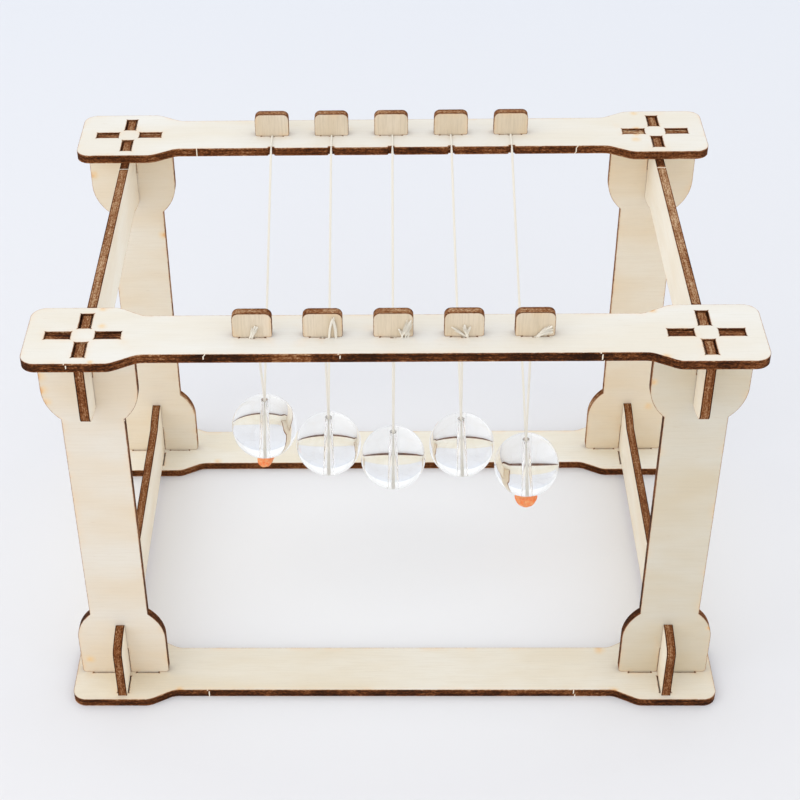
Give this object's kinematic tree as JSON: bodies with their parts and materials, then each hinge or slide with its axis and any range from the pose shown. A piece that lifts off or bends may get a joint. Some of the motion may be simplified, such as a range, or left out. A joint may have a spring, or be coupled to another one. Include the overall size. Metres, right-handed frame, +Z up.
{
  "type": "newtons cradle",
  "caption": "Desktop Newton's cradle: slot-together plywood frame, clear balls hung on V threads held by wedging pegs in the top rails.",
  "frame": {"origin": "centre of the base, on the surface that the two bottom rails stand on", "axes": "+X along the rails to the right, -Y towards the front, +Z up"},
  "size_m": [0.2098, 0.1472, 0.1451],
  "materials": {
    "rail_plywood": "raw laser-cut plywood, pale face veneer, charred brown edges",
    "post_plywood": "raw laser-cut plywood, beige face veneer, charred brown edges",
    "beam_plywood": "raw laser-cut plywood, beige face veneer, charred brown edges",
    "peg_plywood": "raw laser-cut plywood, tan face veneer with fine vertical grain",
    "clear_acrylic": "polished, water clear",
    "cotton_thread": "twisted off-white sewing thread",
    "orange_foam": "matt, finely mottled foam clay"
  },
  "bodies": {
    "frame": {"front_bottom_rail": "rail_plywood", "front_top_rail": "rail_plywood", "back_bottom_rail": "rail_plywood", "back_top_rail": "rail_plywood", "front_left_post": "post_plywood", "front_right_post": "post_plywood", "back_left_post": "post_plywood", "back_right_post": "post_plywood", "left_bottom_beam": "beam_plywood", "left_top_beam": "beam_plywood", "right_bottom_beam": "beam_plywood", "right_top_beam": "beam_plywood", "front_peg_1": "peg_plywood", "front_peg_2": "peg_plywood", "front_peg_3": "peg_plywood", "front_peg_4": "peg_plywood", "front_peg_5": "peg_plywood", "back_peg_1": "peg_plywood", "back_peg_2": "peg_plywood", "back_peg_3": "peg_plywood", "back_peg_4": "peg_plywood", "back_peg_5": "peg_plywood", "front_thread_end_1": "cotton_thread", "front_thread_end_2": "cotton_thread", "front_thread_end_3": "cotton_thread", "front_thread_end_4": "cotton_thread", "front_thread_end_5": "cotton_thread", "back_thread_end_1": "cotton_thread", "back_thread_end_2": "cotton_thread", "back_thread_end_3": "cotton_thread", "back_thread_end_4": "cotton_thread", "back_thread_end_5": "cotton_thread"},
    "pendulum_1": {"ball_1": "clear_acrylic", "thread_1": "cotton_thread", "stopper_1": "orange_foam"},
    "pendulum_2": {"ball_2": "clear_acrylic", "thread_2": "cotton_thread"},
    "pendulum_3": {"ball_3": "clear_acrylic", "thread_3": "cotton_thread"},
    "pendulum_4": {"ball_4": "clear_acrylic", "thread_4": "cotton_thread"},
    "pendulum_5": {"ball_5": "clear_acrylic", "thread_5": "cotton_thread", "stopper_5": "orange_foam"}
  },
  "joints": [
    {"name": "pendulum_1_swing", "type": "hinge", "parent": "frame", "child": "pendulum_1", "pos_m": [-0.04, 0, 0.1375], "axis": [0, 1, 0], "range_deg": [0, 55]},
    {"name": "pendulum_2_swing", "type": "hinge", "parent": "frame", "child": "pendulum_2", "pos_m": [-0.02, 0, 0.1375], "axis": [0, 1, 0], "range_deg": [0, 0.15]},
    {"name": "pendulum_3_swing", "type": "hinge", "parent": "frame", "child": "pendulum_3", "pos_m": [0.0004, 0, 0.1375], "axis": [0, 1, 0], "range_deg": [-0.2, 0.2]},
    {"name": "pendulum_4_swing", "type": "hinge", "parent": "frame", "child": "pendulum_4", "pos_m": [0.02, 0, 0.1375], "axis": [0, -1, 0], "range_deg": [0, 0.5]},
    {"name": "pendulum_5_swing", "type": "hinge", "parent": "frame", "child": "pendulum_5", "pos_m": [0.04, 0, 0.1375], "axis": [0, -1, 0], "range_deg": [0, 55]}
  ]
}
